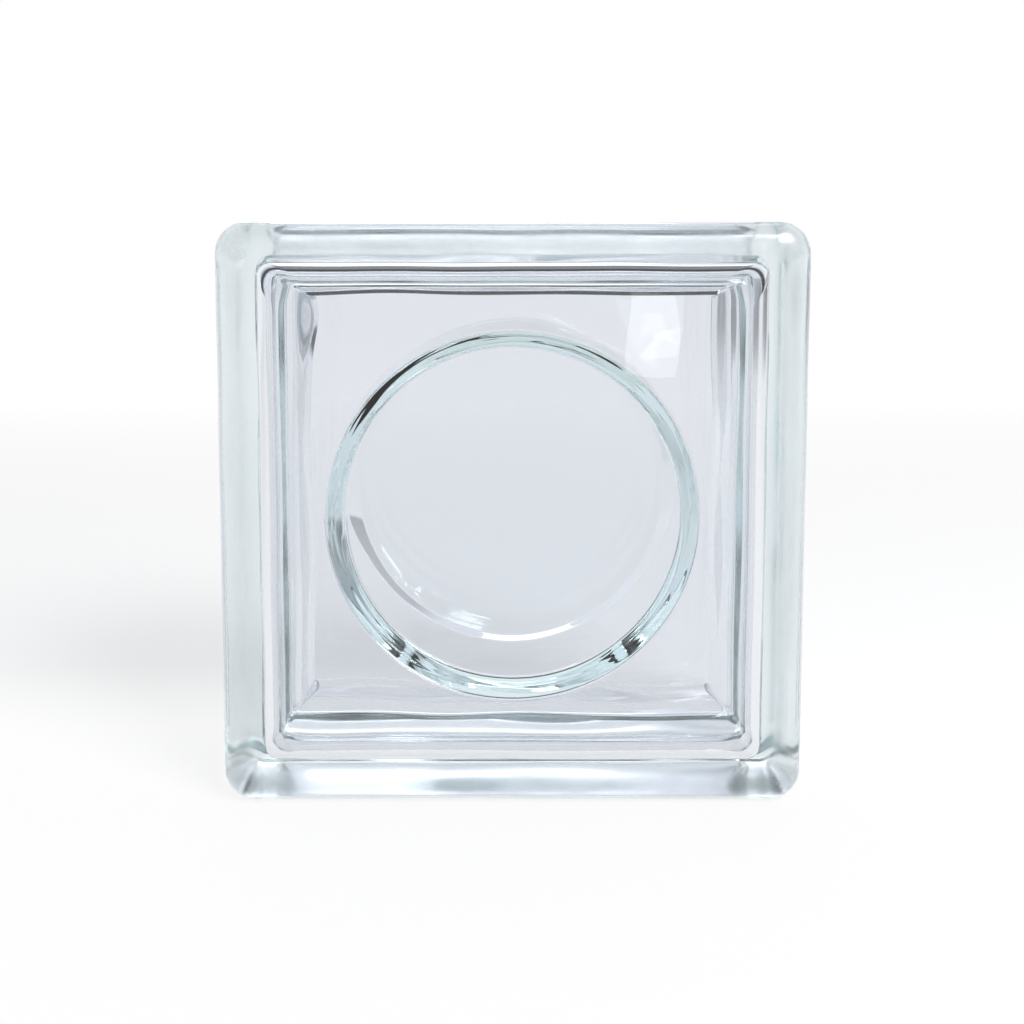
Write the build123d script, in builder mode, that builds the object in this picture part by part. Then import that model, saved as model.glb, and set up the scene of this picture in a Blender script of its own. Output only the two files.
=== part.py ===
from build123d import *
import math
import os

# Hollow pressed-glass block: two square trays of glass fused rim to rim at the
# mid-plane, leaving one sealed air space. It stands on a narrow side, as it is laid
# in a wall. X runs across the face, Y through the block (front face at -Y), Z up.
# The origin is on the floor under the middle of the block. Lengths in mm, angles in
# degrees.

# Outer form
face_size = 190.0  # width and height of the square face
block_depth = 80.0  # front face to back face
corner_radius = 10.0  # rounding of the four corners of the square
edge_radius = 9.0  # soft rounding from each face to the narrow sides
edge_share = 0.95  # a face edge is never rounder than this share of the corner

# Mortar groove, hollowed in one curve round the four narrow sides
rim_width = 4.0  # flat strip left beside each rounded face edge
groove_depth = 5.5  # how far the middle of the groove lies below the rims
rim_round = 3.0  # rounding where a rim drops into the groove

# Fused seam, standing proud along the middle of the groove
seam_width = 4.0
seam_height = 0.7

# Sealed air space
plate_thickness = 6.5  # glass of each square face
rim_thickness = 3.2  # glass that the draft would leave between groove and air space at the seam
cavity_draft = 9.0  # slope that lets the plunger leave each tray
cavity_corner = 14.5  # corner rounding of the air space at the seam
cavity_round = 8.5  # rounding between the walls and each face plate
cavity_round_share = 0.95  # never rounder than this share of the corner at the plate

# Rims of the two trays, squeezed into the air space where they were fused
bulge_width = 32.0  # the walls swell towards the seam over this width
bulge_height = 9.3  # how far they swell
bead_radius = 6.8  # round bead standing along the middle of the swelling

# Thick round lens pressed on the inside of each face
lens_margin = 26.0  # from the wall of the air space, at the seam, to the lens's foot
lens_step = 5.4  # how far its side slopes in from the foot to the flat top
lens_height = 11.0  # how far it stands into the air space

overrun = 5.0  # a cutting profile reaches this far past the surface it cuts

# Sizes that follow from those above
mid_height = face_size / 2
half_depth = block_depth / 2
face_round = min(edge_radius, edge_share * corner_radius)
groove_half = half_depth - face_round - rim_width
cavity_half = mid_height - groove_depth - rim_thickness
cavity_reach = half_depth - plate_thickness
plate_corner = cavity_corner - cavity_reach * math.tan(math.radians(cavity_draft))
wall_round = min(cavity_round, cavity_round_share * plate_corner)
lens_foot_radius = cavity_half - lens_margin
lens_top_radius = lens_foot_radius - lens_step
lens_slope = math.degrees(math.atan2(lens_step, lens_height))
bead_half = cavity_half - bulge_height


# The glass squeezed in along one side of the seam: a swelling with a round bead on it
with BuildPart() as seam_bar:
    with BuildSketch(Plane.YZ):
        with BuildLine():
            ThreePointArc(
                (-bulge_width / 2, cavity_half),
                (0, bead_half),
                (bulge_width / 2, cavity_half),
            )
            Polyline(
                (bulge_width / 2, cavity_half),
                (bulge_width / 2, cavity_half + overrun),
                (-bulge_width / 2, cavity_half + overrun),
                (-bulge_width / 2, cavity_half),
            )
        make_face()
        with Locations((0, bead_half)):
            Circle(bead_radius)
    extrude(amount=cavity_half, both=True)

# The air space as a solid: the pit of one tray, drafted and rounded by its plunger,
# with the lens standing in its floor, the same pit again behind the seam, and the
# squeezed glass taken out along the four sides
with BuildPart() as air_space:
    with BuildSketch(Plane.XZ):
        with Locations((0, mid_height)):
            RectangleRounded(2 * cavity_half, 2 * cavity_half, cavity_corner)
    extrude(amount=cavity_reach)
    pit_walls = air_space.faces().filter_by(Axis.Y, reverse=True)
    draft(pit_walls, neutral_plane=Plane.XZ, angle=cavity_draft)
    fillet(air_space.faces().sort_by(Axis.Y)[0].edges(), wall_round)
    with BuildSketch(Plane.XZ.offset(cavity_reach)):
        with Locations((0, mid_height)):
            Circle(lens_foot_radius)
    extrude(amount=-lens_height, taper=lens_slope, mode=Mode.SUBTRACT)
    mirror(about=Plane.XZ)
    with Locations((0, 0, mid_height)):
        for side in range(4):
            add(seam_bar.part, rotation=(0, side * 90, 0), mode=Mode.SUBTRACT)

# The glass: a rounded square slab with soft face edges, the mortar groove run round
# it in one pass with the seam left standing in it, and the air space taken out
with BuildPart() as glass_block:
    with BuildSketch(Plane.XZ):
        with Locations((0, mid_height)):
            RectangleRounded(face_size, face_size, corner_radius)
    extrude(amount=half_depth, both=True)
    fillet(glass_block.faces().filter_by(Axis.Y).edges(), face_round)

    with BuildLine(Plane.XZ) as groove_path:
        FilletPolyline(
            (0, 0),
            (face_size / 2, 0),
            (face_size / 2, face_size),
            (0, face_size),
            radius=corner_radius,
        )
        mirror(about=Plane.YZ)
    with BuildSketch(Plane.YZ) as groove_profile:
        with BuildLine():
            ThreePointArc((-groove_half, 0), (0, groove_depth), (groove_half, 0))
            Polyline(
                (groove_half, 0),
                (groove_half, -overrun),
                (-groove_half, -overrun),
                (-groove_half, 0),
            )
        make_face()
        with BuildLine():
            ThreePointArc(
                (-seam_width / 2, groove_depth),
                (0, groove_depth - seam_height),
                (seam_width / 2, groove_depth),
            )
            Polyline(
                (seam_width / 2, groove_depth),
                (seam_width / 2, groove_depth + overrun),
                (-seam_width / 2, groove_depth + overrun),
                (-seam_width / 2, groove_depth),
            )
        make_face(mode=Mode.SUBTRACT)
    sweep(path=groove_path.wires()[0], transition=Transition.ROUND, mode=Mode.SUBTRACT)
    rims = glass_block.edges().filter_by(
        lambda edge: math.isclose(abs(edge.center().Y), groove_half, rel_tol=1e-6)
    )
    fillet(rims, rim_round)

    add(air_space.part, mode=Mode.SUBTRACT)

os.makedirs("parts", exist_ok=True)
glass_block.part.label = "glass_block"
export_step(glass_block.part, "parts/glass_block.step")
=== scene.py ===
# %% [markdown]
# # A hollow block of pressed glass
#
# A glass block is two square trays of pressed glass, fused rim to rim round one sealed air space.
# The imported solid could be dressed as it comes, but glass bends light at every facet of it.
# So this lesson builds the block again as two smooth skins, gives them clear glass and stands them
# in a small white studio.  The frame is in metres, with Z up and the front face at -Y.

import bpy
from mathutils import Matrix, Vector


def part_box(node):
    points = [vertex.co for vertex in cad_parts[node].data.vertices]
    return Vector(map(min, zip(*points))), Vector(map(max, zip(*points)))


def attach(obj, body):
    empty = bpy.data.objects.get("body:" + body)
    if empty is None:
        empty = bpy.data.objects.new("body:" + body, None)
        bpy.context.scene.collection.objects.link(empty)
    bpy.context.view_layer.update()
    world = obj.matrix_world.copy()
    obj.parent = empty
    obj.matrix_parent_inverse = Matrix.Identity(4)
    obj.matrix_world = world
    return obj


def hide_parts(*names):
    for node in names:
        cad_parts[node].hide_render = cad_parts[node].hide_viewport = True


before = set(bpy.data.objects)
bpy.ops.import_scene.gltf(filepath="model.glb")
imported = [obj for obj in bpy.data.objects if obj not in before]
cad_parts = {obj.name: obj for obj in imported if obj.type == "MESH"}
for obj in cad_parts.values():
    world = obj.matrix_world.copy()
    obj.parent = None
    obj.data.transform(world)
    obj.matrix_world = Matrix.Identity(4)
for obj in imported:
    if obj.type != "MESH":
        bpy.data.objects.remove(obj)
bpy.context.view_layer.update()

import math

import bpy
import numpy as np
from mathutils import Vector

# %% [markdown]
# ## Main sizes
#
# The wall that a block goes into sets its outside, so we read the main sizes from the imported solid.
# The smaller sizes follow the solid's, in millimetres, and a few are softened for the eye.  One long
# list could hold them all, but a size is easier to follow beside the shape it makes, so each
# stands where it is first needed.

# %% Main sizes
MM = 0.001
low, high = (np.array(corner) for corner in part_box("glass_block"))
FACE_HALF = (high[0] - low[0]) / 2
DEPTH_HALF = (high[1] - low[1]) / 2
MID_HEIGHT = (low[2] + high[2]) / 2
print("face", 2 * FACE_HALF, "depth", 2 * DEPTH_HALF)

# %% [markdown]
# ## Walking round a rounded square
#
# Cut parallel to its face, the block shows rounded squares, and circles where the lens stands.
# A bevelled cube could give the squares, but then the circles would not share their points.
# A rounded square is a smaller square pushed out along its own normal, so we walk round once and
# keep three things: `square`, a point of the unit square; `normal`, its outward normal, which swings
# through each corner; and `ray`, the plain direction from the middle.  Every ring is then
# `s * square + r * normal + c * ray`: a rounded square for c = 0, a circle for s = r = 0.

# %% The three walks round a ring
SIDE_STEPS, CORNER_STEPS = 46, 18
SWING_SHARE = 0.1  # how much of a corner's swing the ray takes on


def quarter_turns(points):
    """Repeat points of one side four times, each copy a quarter turn further round."""
    turn = np.arange(4) * np.pi / 2
    matrix = np.array([[np.cos(turn), -np.sin(turn)], [np.sin(turn), np.cos(turn)]])
    return np.einsum("ijk,nj->kni", matrix, points).reshape(-1, 2)


along = np.sin((np.arange(SIDE_STEPS) + 0.5) / SIDE_STEPS * np.pi - np.pi / 2)
swing = (np.arange(CORNER_STEPS) + 0.5) / CORNER_STEPS * np.pi / 2
square = quarter_turns(np.vstack([
    np.column_stack([np.ones(SIDE_STEPS), along]),
    np.ones((CORNER_STEPS, 2)),
]))
normal = quarter_turns(np.vstack([
    np.tile([1.0, 0.0], (SIDE_STEPS, 1)),
    np.column_stack([np.cos(swing), np.sin(swing)]),
]))
bearing = np.arctan2(*(square * (1 - SWING_SHARE) + normal * SWING_SHARE).T[::-1])
ray = np.column_stack([np.cos(bearing), np.sin(bearing)])
outward_x, outward_z = normal.T
print("points round each ring", len(square))

# %% [markdown]
# ## Profiles
#
# A pressed tray has the same section all the way round, as a picture frame has.
# A curve with a bevel profile could carry that section, but its corners would fold over themselves.
# Here a profile is a table with one row for each ring: s, r, c and the depth y.
# Only the front half is drawn, because the back tray is the front tray in a mirror.

# %% Helpers for profiles


def rows(s, r, c, y):
    """Stack the four columns of a profile, spreading single numbers over the rows."""
    return np.column_stack(np.broadcast_arrays(s, r, c, y))


def ease(count, ends=1.0):
    """Numbers from 0 to 1 with the steps drawn in towards both ends by the share `ends`."""
    t = np.linspace(0.0, 1.0, count)
    return (1 - ends) * t + ends * (1 - np.cos(np.pi * t)) / 2


def arc(centre, radius, start, stop, count):
    """Points on a circle in the (r, y) plane, from one angle to another, in degrees."""
    turn = np.radians(np.linspace(start, stop, count))
    return centre[0] + radius * np.cos(turn), centre[1] + radius * np.sin(turn)


def soft_min(a, b, width):
    """The smaller of two curves, with the corner where they cross rounded over `width`."""
    reach = np.maximum(width - np.abs(a - b), 0) / width
    return np.minimum(a, b) - reach**2 * width / 4


print("soft minimum of 1 and 2", float(soft_min(1.0, 2.0, 0.5)))

# %% [markdown]
# ## The outer skin: face and edge
#
# The face is flat.  Its edge was rounded by fire polishing, and it turns slowly at first, then fast.
# A bevel would give a plain quarter circle, which shows as one hard line where the face ends.
# A superellipse, cos and sin raised to a power below one, starts much softer and is wider than deep.

# %% Face and edge
CORNER = 10.0 * MM  # rounding of the square's corners
EDGE = 9.0 * MM  # depth of the rounded edge
EDGE_IN = 13.5 * MM  # its width, measured in across the face
EDGE_POWER = 2 / 2.4
FACE_CORNER = 2.0 * MM  # corner rounding where the flat face ends
FACE_CIRCLE = 60.3 * MM  # rings are plain circles inside this radius
POLE_SHARE = 0.02  # the first ring, as a share of the last circle
FACE_STEPS, FRAME_STEPS, EDGE_STEPS = 10, 14, 30

face_square = FACE_HALF - EDGE_IN - FACE_CORNER
face_in = np.linspace(POLE_SHARE, 1.0, FACE_STEPS)
face_out = ease(FRAME_STEPS, ends=0.7)[1:]
turn = np.pi / 2 * (1 - ease(EDGE_STEPS, ends=0.4))[1:]
edge_in = EDGE_IN * (1 - np.cos(turn) ** EDGE_POWER)
edge_y = -DEPTH_HALF + EDGE * (1 - np.sin(turn) ** EDGE_POWER)
edge_corner = FACE_CORNER + (CORNER - FACE_CORNER) * (1 - edge_in / EDGE_IN)
face_rings = np.vstack([
    rows(0, 0, face_in * FACE_CIRCLE, -DEPTH_HALF),
    rows(face_square * face_out, FACE_CORNER * face_out, FACE_CIRCLE * (1 - face_out), -DEPTH_HALF),
])
edge_rings = rows(FACE_HALF - edge_in - edge_corner, edge_corner, 0, edge_y)
print("face rings", len(face_rings), "edge rings", len(edge_rings))

# %% [markdown]
# ## The outer skin: rim and mortar groove
#
# Beside the edge runs a flat rim, and between the two rims a shallow groove for the mortar.
# Where the trays were fused, a low seam stands in the middle of the groove.
# Three solids and two booleans could do it.  As curves it is one line each: the groove is the smaller
# of the rim and a circle, the seam is the larger of that and a parabola, with soft corners.

# %% Rim, groove and seam
RIM = 4.0 * MM
GROOVE = 5.5 * MM
SEAM_HALF, SEAM_HEIGHT = 2.0 * MM, 0.7 * MM
RIM_ROUND, SEAM_ROUND = 0.5 * MM, 0.3 * MM
FINE = 3.0 * MM  # rings lie closer together over this stretch beside rim and seam
RIM_STEPS, GROOVE_STEPS, SEAM_STEPS = 12, 14, 10

groove_half = DEPTH_HALF - EDGE - RIM
groove_radius = (groove_half**2 + GROOVE**2) / (2 * GROOVE)
side_y = -np.concatenate([
    np.linspace(DEPTH_HALF - EDGE, groove_half - FINE, RIM_STEPS)[1:],
    np.linspace(groove_half - FINE, FINE, GROOVE_STEPS)[1:],
    np.linspace(FINE, 0, SEAM_STEPS)[1:],
])
hollow = CORNER - GROOVE + groove_radius - np.sqrt(groove_radius**2 - side_y**2)
side_r = soft_min(np.full_like(side_y, CORNER), hollow, RIM_ROUND)
seam = CORNER - GROOVE + SEAM_HEIGHT * (1 - (side_y / SEAM_HALF) ** 2)
side_r = -soft_min(-side_r, -seam, SEAM_ROUND)
side_rings = rows(FACE_HALF - CORNER, side_r, 0, side_y)
outer_front = np.vstack([face_rings, edge_rings, side_rings])
print("outer rings, front half", len(outer_front))

# %% [markdown]
# ## The air space: lens and floor
#
# The plunger that pressed each tray left a thick round lens standing on the inside of the face.
# Its steep side is what we see as a bright ring, so its two small roundings matter.
# A cylinder would show a hard edge; a sloping line between two short arcs, turned round, does not.

# %% Lens and floor
PLATE = 6.5 * MM  # glass of each face
WALL = 3.2 * MM  # glass between groove and air space
DRAFT = math.radians(9.0)  # slope that let the plunger out
LENS_MARGIN, LENS_STEP, LENS_HEIGHT = 26.0 * MM, 5.4 * MM, 11.0 * MM
LENS_EDGE = 1.2 * MM
PIT_ROUND = 8.5 * MM
FLOOR_CORNER = 10.0 * MM
TOP_STEPS, BROW_STEPS, SLOPE_STEPS, FLOOR_STEPS = 12, 6, 14, 10

pit_half = FACE_HALF - GROOVE - WALL
lens_foot = pit_half - LENS_MARGIN
lens_top = lens_foot - LENS_STEP
floor_y = PLATE - DEPTH_HALF
top_y = floor_y + LENS_HEIGHT
slope = math.degrees(math.atan2(LENS_STEP, LENS_HEIGHT))
bite = LENS_EDGE * math.tan(math.radians(90 - slope) / 2)
lens_in = np.linspace(POLE_SHARE, 1.0, TOP_STEPS)
brow_c, brow_y = arc((lens_top - bite, top_y - LENS_EDGE), LENS_EDGE, 90, slope, BROW_STEPS)
foot_c, foot_y = arc((lens_foot + bite, floor_y + LENS_EDGE), LENS_EDGE, 180 + slope, 270, BROW_STEPS)
down_side = np.linspace(0, 1, SLOPE_STEPS)[1:-1]
side_c = brow_c[-1] + (foot_c[0] - brow_c[-1]) * down_side
side_depth = brow_y[-1] + (foot_y[0] - brow_y[-1]) * down_side
lens_rings = np.vstack([
    rows(0, 0, lens_in * (lens_top - bite), top_y),
    rows(0, 0, brow_c[1:], brow_y[1:]),
    rows(0, 0, side_c, side_depth),
    rows(0, 0, foot_c, foot_y),
])
floor_half = pit_half + floor_y * math.tan(DRAFT) - PIT_ROUND / math.tan((math.pi / 2 + DRAFT) / 2)
floor_out = ease(FLOOR_STEPS, ends=0.5)[1:]
floor_rings = rows(
    (floor_half - FLOOR_CORNER) * floor_out, FLOOR_CORNER * floor_out, foot_c[-1] * (1 - floor_out), floor_y
)
print("lens foot radius", lens_foot, "top radius", lens_top)

# %% [markdown]
# ## The air space: walls and squeezed glass
#
# The walls lean outwards to the seam, so that the plunger could leave the tray.
# When the two hot rims were pressed together, some glass was squeezed inwards: a broad swelling with
# a rounder bead on it.  It could be a separate ring of glass, but on the real block it is one with
# the wall.  So it is added to the wall's own profile, as two cosine bumps of different width.

# %% Walls, swelling and bead
PIT_CORNER = 5.0 * MM
BULGE_HEIGHT, BULGE_HALF = 9.8 * MM, 16.0 * MM
BEAD_HEIGHT, BEAD_HALF = 6.0 * MM, 5.5 * MM
BEAD_CORNER = 0.8 * MM
ROUND_STEPS, WALL_STEPS = 20, 44


def bump(y, half_width):
    """One rounded wave, (1 + cos) / 2, that is 1 at y = 0 and 0 beyond the half width."""
    return np.where(np.abs(y) < half_width, (1 + np.cos(np.pi * y / half_width)) / 2, 0)


round_half, round_y = arc(
    (floor_half, floor_y + PIT_ROUND), PIT_ROUND, -90, -math.degrees(DRAFT), ROUND_STEPS
)
round_corner = FLOOR_CORNER + (PIT_CORNER - FLOOR_CORNER) * np.linspace(0, 1, ROUND_STEPS)
wall_y = round_y[-1] * (1 - np.linspace(0, 1, WALL_STEPS)[1:])
squeezed = BULGE_HEIGHT * bump(wall_y, BULGE_HALF) + BEAD_HEIGHT * bump(wall_y, BEAD_HALF)
wall_half = pit_half + wall_y * math.tan(DRAFT) - squeezed
wall_corner = PIT_CORNER + (BEAD_CORNER - PIT_CORNER) * squeezed / squeezed.max()
pit_front = np.vstack([
    lens_rings,
    floor_rings,
    rows(round_half - round_corner, round_corner, 0, round_y)[1:],
    rows(wall_half - wall_corner, wall_corner, 0, wall_y),
])
print("air-space rings, front half", len(pit_front))

# %% [markdown]
# ## From profile to skin
#
# On the real block each skin is what one mould face left behind, without a break.
# A loop could place the rings one by one; numpy applies the ring formula to all of them at once,
# and gives the back half by turning the rows round and changing the sign of y.

# %% Sweep the profiles


def mirrored(front):
    """Rows of the front half, then the same rows again from the seam to the back."""
    return np.concatenate([front, front[-2::-1]])


def sweep(front):
    """Grid of points P = s*square + r*normal + c*ray at depth y, front rows then mirrored rows."""
    back = front[-2::-1] * np.array([1, 1, 1, -1])
    s, r, c, y = np.vstack([front, back]).T[:, :, None, None]
    across = s * square + r * normal + c * ray
    depth = np.broadcast_to(y, across.shape[:2] + (1,))
    return np.concatenate([across[..., :1], depth, across[..., 1:] + MID_HEIGHT], axis=2)


def grid_normals(points):
    """Unit normals: the cross product of the steps along both grid directions."""
    down = np.gradient(points, axis=0)
    around = np.roll(points, -1, axis=1) - np.roll(points, 1, axis=1)
    cross = np.cross(down, around)
    return cross / np.maximum(np.linalg.norm(cross, axis=2, keepdims=True), 1e-12)


outer_grid, pit_grid = sweep(outer_front), sweep(pit_front)
print("outer", outer_grid.shape, "air space", pit_grid.shape)

# %% [markdown]
# ## Waves of pressed glass
#
# Hot glass chills unevenly against the mould, so no wall is quite flat, and lines seen through it
# waver.  A bump map could fake that in a picture, but not in the mesh.  A sum of slow sine waves
# moves each skin along its normal by parts of a millimetre.  The outside only moves inwards, which
# keeps the block inside its own box.

# %% Waves on both skins
OUTER_WAVE, OUTER_LENGTH = 0.12 * MM, 45 * MM
WALL_WAVE, LENS_WAVE, PIT_LENGTH = 0.22 * MM, 0.05 * MM, 34 * MM
rng = np.random.default_rng(11)


def waves(points, length, count=9):
    """Sum of sines of random direction and phase, about one wave in `length` metres, mostly within 1."""
    turn = rng.normal(size=(count, 3))
    turn *= 2 * np.pi / length / np.linalg.norm(turn, axis=1, keepdims=True)
    turn *= rng.uniform(0.6, 1.5, size=(count, 1))
    phase = rng.uniform(0, 2 * np.pi, count)
    return np.sin(points @ turn.T + phase).mean(axis=2) * math.sqrt(count / 3)


outer_wave = OUTER_WAVE * (np.minimum(waves(outer_grid, OUTER_LENGTH), 1) - 1)
outer_grid = outer_grid + grid_normals(outer_grid) * outer_wave[..., None]
on_wall = mirrored(pit_front[:, 0] > 0)[:, None]
pit_wave = np.where(on_wall, WALL_WAVE, LENS_WAVE) * waves(pit_grid, PIT_LENGTH)
pit_grid = pit_grid + grid_normals(pit_grid) * pit_wave[..., None]
print("waves, mm", np.ptp(outer_wave) / MM, np.ptp(pit_wave) / MM)

# %% [markdown]
# ## The squeezed bead is not even
#
# Soft glass runs, so the bead is thicker in places, sags along the bottom, and has one frozen drop
# high on the left.  Sculpting by hand would do it once; three small formulas can be changed again:
# slow waves, a Gauss curve for the drop, and a sag that depends on which way the wall faces.

# %% Swell, drop and sag
SWELL, SWELL_LENGTH = 1.2 * MM, 55 * MM
DROP, DROP_PLACE, DROP_HALF = 2.0 * MM, 158 * MM, 10 * MM
FACING = [-1, 0, 1]  # bottom wall, side walls, top wall
SWELL_SHARES = [1.8, 1.0, 0.25]
SAG = np.array([5.0, 1.5, 0.0]) * MM
SAG_ON_BEAD_SHARE, SAG_ON_BULGE_SHARE = 0.6, 0.4

on_bead = bump(pit_grid[..., 1], BEAD_HALF) * on_wall
on_bulge = bump(pit_grid[..., 1], BULGE_HALF) * on_wall
swell = SWELL * waves(pit_grid * np.array([1, 0, 1]), SWELL_LENGTH)
swell = swell * np.interp(outward_z, FACING, SWELL_SHARES)
from_drop = (pit_grid[..., 2] - DROP_PLACE) / DROP_HALF
drop = DROP * np.exp(-(from_drop**2)) * np.clip(-outward_x, 0, 1)
sag = np.interp(outward_z, FACING, SAG)
bead_wave = on_bead * (drop + SAG_ON_BEAD_SHARE * sag) + on_bulge * (swell + SAG_ON_BULGE_SHARE * sag)
pit_grid[..., 0] -= bead_wave * outward_x
pit_grid[..., 2] -= bead_wave * outward_z
print("bead uneven by, mm", np.ptp(bead_wave) / MM)

# %% [markdown]
# ## Ripples on the lens side
#
# The steep side of the lens dragged along the plunger, which left faint ripples; they break the ring
# into light and dark streaks.  They could be scratches in a bump map, but a ring of glass shows
# only what bends its surface.  These are the same waves again, short along the depth and long across.

# %% Lens ripples
RIPPLE, RIPPLE_LENGTH = 0.03 * MM, 9 * MM
RIPPLE_STRETCH = np.array([0.4, 2.5, 0.4])
on_side = np.zeros(len(pit_front))
on_side[len(lens_in) + len(brow_c) - 1 + np.arange(len(down_side))] = np.sin(np.pi * down_side)
ripple = RIPPLE * mirrored(on_side)[:, None] * waves(pit_grid * RIPPLE_STRETCH, RIPPLE_LENGTH)
pit_grid = pit_grid + grid_normals(pit_grid) * ripple[..., None]
print("ripples, mm", np.ptp(ripple) / MM)

# %% [markdown]
# ## Where the skin is matt
#
# The faces are fire-polished.  The groove was left duller, so that mortar grips, and the rounded edge
# has a light satin from the mould, a little stronger in the corners.  Two materials could share the
# mesh, but then the change would be a line.  One number for each point, fading from ring to ring,
# steers the roughness instead.

# %% Frost numbers
EDGE_SATIN, SATIN_FADE = 0.45, 4.0 * MM
GROOVE_FROST, FROST_FADE = 0.4, 2.5 * MM
CORNER_EXTRA_SHARE = 0.5

into_groove = np.clip((DEPTH_HALF - EDGE - np.abs(side_y)) / FROST_FADE, 0, 1)
smooth_step = into_groove**2 * (3 - 2 * into_groove)
frost_front = np.concatenate([
    np.zeros(len(face_rings)),
    EDGE_SATIN * np.clip((EDGE_IN - edge_in) / SATIN_FADE, 0, 1),
    EDGE_SATIN + (GROOVE_FROST - EDGE_SATIN) * smooth_step,
])
in_corner = (2 * outward_x * outward_z) ** 2
frost_grid = np.outer(mirrored(frost_front), 1 + CORNER_EXTRA_SHARE * in_corner)
frost = np.concatenate([frost_grid.ravel(), [0, 0], np.zeros(pit_grid.shape[0] * len(square)), [0, 0]])
print("matt points", int((frost > 0).sum()), "of", len(frost))

# %% [markdown]
# ## One mesh with two skins
#
# A real block is one piece of glass: light enters it once at the outside and leaves it once at the
# air space.  Two objects, one inside the other, would make the renderer guess what lies between.
# So both skins go into one closed mesh, with normals pointing out of the glass: outwards on the
# outside, into the air on the inside.

# %% Faces of a skin


def skin(points, inward):
    """Quads between the rings and a fan at each pole; `inward` turns every face round."""
    rings, around, _ = points.shape
    poles = points[[0, -1]].mean(axis=1)
    verts = np.vstack([points.reshape(-1, 3), poles])
    i = np.arange(rings - 1)[:, None] * around
    j = np.arange(around)[None, :]
    k = (j + 1) % around
    quads = np.stack([i + j, i + around + j, i + around + k, i + k], axis=-1).reshape(-1, 4)
    first, last = rings * around, rings * around + 1
    end = (rings - 1) * around
    fans = np.vstack([
        np.column_stack([np.full(around, first), j[0], k[0]]),
        np.column_stack([np.full(around, last), end + k[0], end + j[0]]),
    ])
    return (verts, quads[:, ::-1], fans[:, ::-1]) if inward else (verts, quads, fans)


skins = [skin(outer_grid, False), skin(pit_grid, True)]
print("points", [len(verts) for verts, _, _ in skins])

# %% The block


def solid(name, skins):
    """One mesh object: the points of all skins in a row, each skin's faces moved up by those before."""
    counts = np.cumsum([0] + [len(verts) for verts, _, _ in skins])
    verts = np.vstack([verts for verts, _, _ in skins])
    quads = np.vstack([quads + n for (_, quads, _), n in zip(skins, counts)])
    fans = np.vstack([fans + n for (_, _, fans), n in zip(skins, counts)])
    mesh = bpy.data.meshes.new(name)
    mesh.vertices.add(len(verts))
    mesh.vertices.foreach_set("co", verts.ravel())
    mesh.loops.add(quads.size + fans.size)
    mesh.loops.foreach_set("vertex_index", np.concatenate([quads.ravel(), fans.ravel()]))
    starts = np.concatenate([np.arange(len(quads)) * 4, quads.size + np.arange(len(fans)) * 3])
    mesh.polygons.add(len(starts))
    mesh.polygons.foreach_set("loop_start", starts)
    mesh.update(calc_edges=True)
    mesh.validate()
    mesh.shade_smooth()
    piece = bpy.data.objects.new(name, mesh)
    bpy.context.scene.collection.objects.link(piece)
    return piece


block = solid("clear_glass_block", skins)
block.data.attributes.new("frost", "FLOAT", "POINT").data.foreach_set("value", frost.astype(np.float32))
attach(block, "root")
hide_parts("glass_block")
print("faces", len(block.data.polygons))

# %% [markdown]
# ## How much glass?
#
# A block of this size weighs a few kilograms, so its glass fills between one and one and a half litres.
# The renderer would not tell us if a skin were inside out.  The volume does: the sum over all
# triangles of a . (b x c) / 6 counts the outside as plus and the air space as minus.

# %% Volume of the mesh
mesh = block.data
mesh.calc_loop_triangles()
corners = np.empty(len(mesh.loop_triangles) * 3, dtype=np.int32)
mesh.loop_triangles.foreach_get("vertices", corners)
places = np.empty(len(mesh.vertices) * 3)
mesh.vertices.foreach_get("co", places)
a, b, c = places.reshape(-1, 3)[corners.reshape(-1, 3)].transpose(1, 0, 2)
volume = np.einsum("ij,ij->i", a, np.cross(b, c)).sum() / 6
print("triangles", len(mesh.loop_triangles), "glass volume, litres", volume * 1000)

# %% [markdown]
# ## Two helpers for nodes
#
# Materials and the world are made of small nodes.  They could be wired one line at a time, but two
# helpers keep the lines short: one spreads a value over a new range, one joins two values into one.

# %% Node helpers


def spread(tree, value, start, stop, first=0.0, last=1.0):
    """Map Range: a value that goes from start to stop becomes first to last, and stays there beyond."""
    node = tree.nodes.new("ShaderNodeMapRange")
    numbers = {"From Min": start, "From Max": stop, "To Min": first, "To Max": last}
    for name, number in numbers.items():
        node.inputs[name].default_value = number
    tree.links.new(value, node.inputs["Value"])
    return node.outputs["Result"]


def combine(tree, operation, *values):
    """Math: two values joined by one operation, the result kept between 0 and 1."""
    node = tree.nodes.new("ShaderNodeMath")
    node.operation = operation
    node.use_clamp = True
    for socket, value in zip(node.inputs, values):
        tree.links.new(value, socket)
    return node.outputs["Value"]


print("helpers", spread.__name__, combine.__name__)

# %% [markdown]
# ## Glass
#
# Clear soda-lime glass is one Principled shader with full transmission and an index of 1.52.
# Absorption alone would turn the thick rims dark before the thin faces show any colour, so a pale
# base colour tints light a little at each surface it crosses, and a thin absorption adds the green
# of the long paths.  Roughness is the frost number times an uneven grain of one to two centimetres.

# %% Glass material
GLASS_COLOUR = (0.876, 0.886, 0.918, 1.0)
GLASS_DEPTHS, GLASS_DENSITY = (0.62, 0.86, 0.84, 1.0), 3.6
GLASS_INDEX = 1.52
GRAIN_SCALE, GRAIN_DETAIL = 60.0, 2.0
GRAIN_LOW, GRAIN_HIGH = 0.3, 0.7  # most of the noise lies between these
MATT_LOW, MATT_HIGH = 0.28, 0.46

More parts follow.
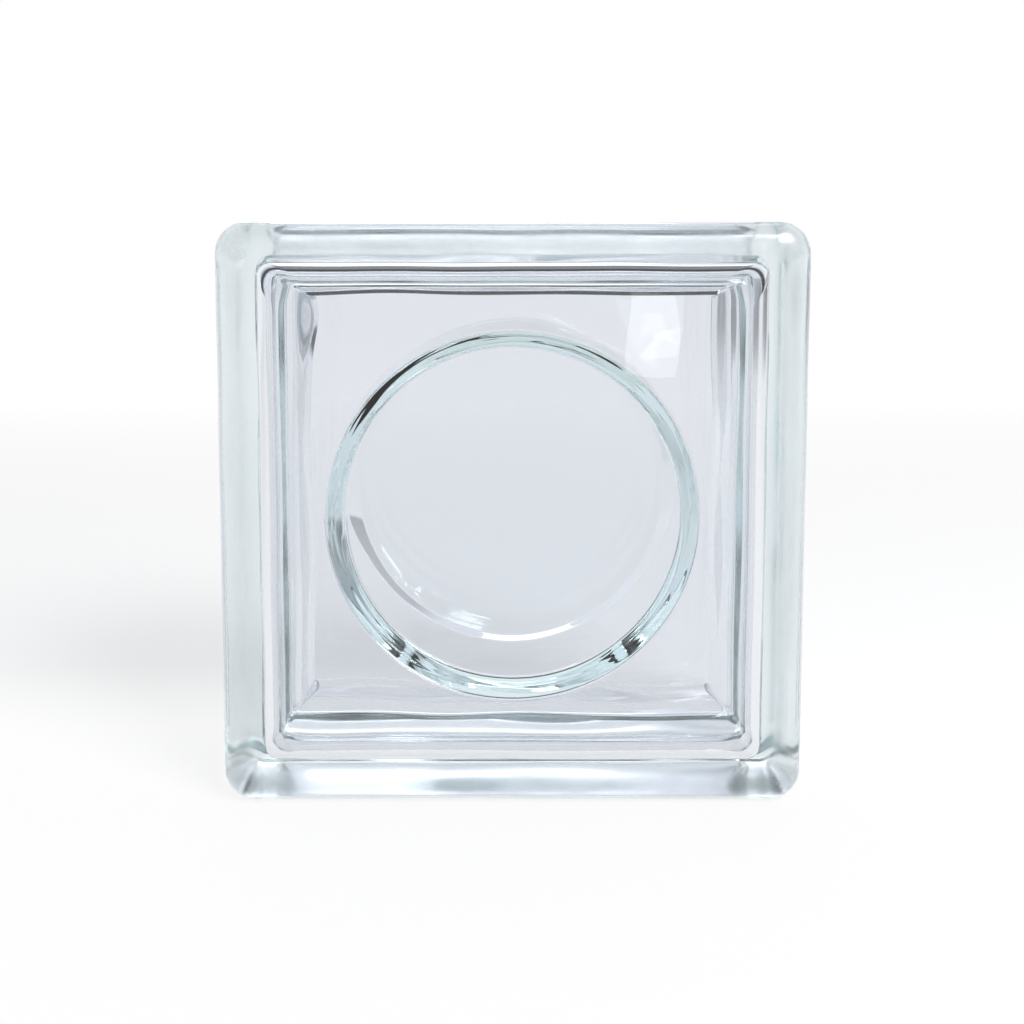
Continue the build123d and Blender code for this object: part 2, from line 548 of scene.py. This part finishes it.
glass = bpy.data.materials.new("pressed_glass")
glass.use_nodes = True
tree = glass.node_tree
shader = tree.nodes["Principled BSDF"]
shader.inputs["Base Color"].default_value = GLASS_COLOUR
shader.inputs["IOR"].default_value = GLASS_INDEX
shader.inputs["Transmission Weight"].default_value = 1.0
frosted = tree.nodes.new("ShaderNodeAttribute")
frosted.attribute_name = "frost"
where = tree.nodes.new("ShaderNodeTexCoord")
grain = tree.nodes.new("ShaderNodeTexNoise")
grain.inputs["Scale"].default_value = GRAIN_SCALE
grain.inputs["Detail"].default_value = GRAIN_DETAIL
tree.links.new(where.outputs["Object"], grain.inputs["Vector"])
uneven = spread(tree, grain.outputs["Fac"], GRAIN_LOW, GRAIN_HIGH, MATT_LOW, MATT_HIGH)
matt = combine(tree, "MULTIPLY", frosted.outputs["Fac"], uneven)
tree.links.new(matt, shader.inputs["Roughness"])
depths = tree.nodes.new("ShaderNodeVolumeAbsorption")
depths.inputs["Color"].default_value = GLASS_DEPTHS
depths.inputs["Density"].default_value = GLASS_DENSITY
tree.links.new(depths.outputs["Volume"], tree.nodes["Material Output"].inputs["Volume"])
block.data.materials.append(glass)
print("glass nodes", len(tree.nodes))

# %% [markdown]
# ## Floor and backdrop
#
# The block stands on one sheet of white paper that curves up behind it, as in a photo studio.
# A plane and a wall would do, but the line where they meet would show through the glass.
# The sheet is a profile in y and z, straight, quarter circle, straight, pulled out along x.

# %% Paper sweep
SWEEP_FRONT, SWEEP_START, SWEEP_ROUND = -8.0, 1.6, 0.4
SWEEP_HALF, SWEEP_TOP = 8.0, 0.75
BEND_STEPS = 25

turn = np.linspace(0, np.pi / 2, BEND_STEPS)[1:]
sweep_y = np.concatenate([
    [SWEEP_FRONT, SWEEP_START], SWEEP_START + SWEEP_ROUND * np.sin(turn), [SWEEP_START + SWEEP_ROUND]
])
sweep_z = np.concatenate([[0.0, 0.0], SWEEP_ROUND * (1 - np.cos(turn)), [SWEEP_TOP]])
paper_points = np.stack([
    np.column_stack([np.full_like(sweep_y, side * SWEEP_HALF), sweep_y, sweep_z]) for side in (-1, 1)
], axis=1)
n = np.arange(len(sweep_y) - 1) * 2
paper_mesh = bpy.data.meshes.new("studio_sweep")
paper_mesh.from_pydata(
    paper_points.reshape(-1, 3).tolist(), [], np.column_stack([n, n + 1, n + 3, n + 2]).tolist()
)
paper_mesh.shade_smooth()
floor = bpy.data.objects.new("studio_sweep", paper_mesh)
bpy.context.scene.collection.objects.link(floor)
print("paper points", len(paper_mesh.vertices))

# %% [markdown]
# ## White paper
#
# Real paper behind glass is lit until it is white.  More lamps would do that, but they would also
# burn out the block.  So rays from the camera, and rays that glass reflects or bends, see the plain
# paper with a glow mixed in, and all other rays see the plain paper alone.  The glow is weakest just
# behind the block, so that the shadow there still shows, and it ends at the right of the backdrop,
# where the glass needs something grey to show.

# %% Paper material
PAPER_WHITE, PAPER_ROUGHNESS = (0.88, 0.88, 0.88, 1), 0.9
GLOW_NEAR, GLOW_DIP, GLOW_RISE = 0.86, 0.22, 0.36
DIP_Y, RISE_Y = (0.03, 0.10), (0.25, 1.0)  # where the dip and the rise set in
GREY_X, GREY_Y = (1.0, 1.4), (0.2, 0.8)  # where the glow ends at the back right

paper = bpy.data.materials.new("white_paper")
paper.use_nodes = True
tree = paper.node_tree
paper_shader = tree.nodes["Principled BSDF"]
paper_shader.inputs["Base Color"].default_value = PAPER_WHITE
paper_shader.inputs["Roughness"].default_value = PAPER_ROUGHNESS
paper_shader.inputs["Specular IOR Level"].default_value = 0.0
place = tree.nodes.new("ShaderNodeTexCoord")
apart = tree.nodes.new("ShaderNodeSeparateXYZ")
tree.links.new(place.outputs["Object"], apart.inputs[0])
x, y = apart.outputs["X"], apart.outputs["Y"]
near = spread(tree, y, *DIP_Y, GLOW_NEAR, GLOW_NEAR - GLOW_DIP)
share = combine(tree, "ADD", near, spread(tree, y, *RISE_Y, 0.0, GLOW_RISE))
grey_side = combine(tree, "MULTIPLY", spread(tree, x, *GREY_X), spread(tree, y, *GREY_Y))
share = combine(tree, "SUBTRACT", share, grey_side)
paper_mesh.materials.append(paper)
print("glow near the block", GLOW_NEAR, "just behind it", GLOW_NEAR - GLOW_DIP)

# %% Which rays see the glow
rays = tree.nodes.new("ShaderNodeLightPath")
seen = combine(tree, "MAXIMUM", rays.outputs["Is Camera Ray"], rays.outputs["Is Glossy Ray"])
seen = combine(tree, "MAXIMUM", seen, rays.outputs["Is Transmission Ray"])
glow = tree.nodes.new("ShaderNodeEmission")
blend = tree.nodes.new("ShaderNodeMixShader")
tree.links.new(combine(tree, "MULTIPLY", seen, share), blend.inputs[0])
tree.links.new(paper_shader.outputs[0], blend.inputs[1])
tree.links.new(glow.outputs[0], blend.inputs[2])
tree.links.new(blend.outputs[0], tree.nodes["Material Output"].inputs["Surface"])
print("paper nodes", len(tree.nodes))

# %% [markdown]
# ## The room
#
# Glass shows its surroundings, bent, so its dark lines are the dark parts of the room.
# A picture of a studio wrapped round the scene would do, but this script reads no pictures.
# So the world is a few ramps over the direction of view: bright behind, dark at the sides, pale
# straight in front, dim overhead, greyer low on the right, and pale along the horizon.

# %% World colour
ROOM_TINT = np.array([0.96, 0.99, 1.05])
ROOM_STOPS = ((0.07, 0.95), (0.13, 0.05), (0.49, 0.05), (0.56, 1.05))  # from the front, 0, to the back, 1
HORIZON, HORIZON_Z = (0.9, 0.92, 0.95, 1), (0.03, 0.09)


def ramp(tree, value, stops, tint):
    """Color Ramp: greys at the given places, each times the tint, blended straight in between."""
    node = tree.nodes.new("ShaderNodeValToRGB")
    marks = node.color_ramp.elements
    for position, grey in stops:
        marks.new(position).color = (*(grey * tint), 1)
    marks.remove(marks[0])
    marks.remove(marks[-1])
    tree.links.new(value, node.inputs["Fac"])
    return node.outputs["Color"]


scene = bpy.context.scene
scene.world = bpy.data.worlds.new("studio")
scene.world.use_nodes = True
tree = scene.world.node_tree
background = tree.nodes["Background"]
way = tree.nodes.new("ShaderNodeTexCoord")
apart = tree.nodes.new("ShaderNodeSeparateXYZ")
tree.links.new(way.outputs["Generated"], apart.inputs[0])
x, y, z = apart.outputs
room = ramp(tree, spread(tree, y, -1.0, 1.0), ROOM_STOPS, ROOM_TINT)
pale = tree.nodes.new("ShaderNodeMix")
pale.data_type = "RGBA"
tree.links.new(spread(tree, z, *HORIZON_Z, 1.0, 0.0), pale.inputs["Factor"])
tree.links.new(room, pale.inputs[6])  # 6 and 7 are the colours A and B, output 2 is their mix
pale.inputs[7].default_value = HORIZON
tree.links.new(pale.outputs[2], background.inputs["Color"])
print("room stops", len(ROOM_STOPS))

# %% World strength
CEILING, CEILING_Z = 0.25, (0.76, 0.90)
RIGHT_X = (0.0, 0.3)
GREY_STOPS = ((0.10, 0.0), (0.22, 0.5), (0.40, 0.5), (0.50, 0.0))  # over the height of the direction

overhead = spread(tree, z, *CEILING_Z, 1.0, CEILING)
low_right = combine(tree, "MULTIPLY", spread(tree, x, *RIGHT_X), ramp(tree, z, GREY_STOPS, np.ones(3)))
tree.links.new(combine(tree, "SUBTRACT", overhead, low_right), background.inputs["Strength"])
print("world nodes", len(tree.nodes))

# %% [markdown]
# ## Lamps
#
# One strong soft lamp at the front right throws the shadow.  Weak ones only give the glass something
# to show: a strip overhead, a softbox behind, and a small window whose reflection lies on the face.
# Point lamps would make hard sparks, so all are area lamps, turned to face what they light.

# %% Lamps


def softbox(name, place, aim, width, height, watts):
    """Rectangular area lamp at `place`; its -Z axis follows the line from there to `aim`."""
    lamp = bpy.data.lights.new(name, "AREA")
    lamp.shape = "RECTANGLE"
    lamp.size, lamp.size_y, lamp.energy = width, height, watts
    holder = bpy.data.objects.new(name, lamp)
    holder.location = place
    holder.rotation_euler = (Vector(aim) - Vector(place)).to_track_quat("-Z", "Y").to_euler()
    scene.collection.objects.link(holder)
    return holder


FOOT, MIDDLE = (0.0, 0.0, 0.0), (0.0, 0.0, 0.1)  # what the lamps aim at
lamps = [
    softbox("overhead", place=(0.0, 0.94, 1.77), aim=FOOT, width=1.6, height=0.22, watts=2),
    softbox("key_right", place=(0.8, -1.0, 1.3), aim=MIDDLE, width=0.7, height=0.7, watts=32),
    softbox("behind", place=(-0.17, 2.0, 1.27), aim=MIDDLE, width=1.0, height=0.6, watts=2.8),
    softbox("window", place=(0.22, -1.4, 0.06), aim=MIDDLE, width=0.06, height=0.09, watts=0.035),
]
print("lamps", [lamp.name for lamp in lamps])

# %% [markdown]
# ## Camera
#
# The photograph looks at the block from the front, a little from above.  Tilting the camera down by
# the whole angle would make the sides lean together, as tall houses do.  So it tilts by part of the
# angle, and lens shift brings the block to its place in the frame.
# The lens is the sensor's width times the distance, divided by the width that the frame covers.

# %% Camera
FRAME_PIXELS, FACE_PIXELS = 1024, 606  # width of the frame, and of the block's face in it
RIGHT_PIXELS, UP_PIXELS = -1, 9  # last nudge of the frame
DISTANCE, RISE, ASIDE = 0.400, 0.088, -0.004
PITCH = math.radians(5.5)

frame_width = 2 * FACE_HALF * FRAME_PIXELS / FACE_PIXELS
camera = bpy.data.cameras.new("camera")
camera.lens = camera.sensor_width * DISTANCE / frame_width
viewer = bpy.data.objects.new("camera", camera)
viewer.location = (ASIDE, -DEPTH_HALF - DISTANCE, MID_HEIGHT + RISE)
viewer.rotation_euler = (math.pi / 2 - PITCH, 0.0, 0.0)
still_to_tilt = math.tan(PITCH - math.atan2(RISE, DISTANCE))
camera.shift_x = -ASIDE / frame_width + RIGHT_PIXELS / FRAME_PIXELS
camera.shift_y = still_to_tilt * camera.lens / camera.sensor_width + UP_PIXELS / FRAME_PIXELS
scene.collection.objects.link(viewer)
scene.camera = viewer
print("lens", camera.lens, "shift", camera.shift_x, camera.shift_y)

# %% [markdown]
# ## Close
#
# Light in a hollow block crosses many surfaces and runs round the lens like light in a fibre.
# A path that is cut short turns black, so glass is allowed many bounces; paper needs only one.

# %% Bounces and view transform
GLASS_BOUNCES, MIRROR_BOUNCES, PAPER_BOUNCES = 20, 10, 1

scene.view_settings.view_transform = "Standard"
scene.cycles.max_bounces = GLASS_BOUNCES
scene.cycles.transmission_bounces = GLASS_BOUNCES
scene.cycles.glossy_bounces = MIRROR_BOUNCES
scene.cycles.diffuse_bounces = PAPER_BOUNCES
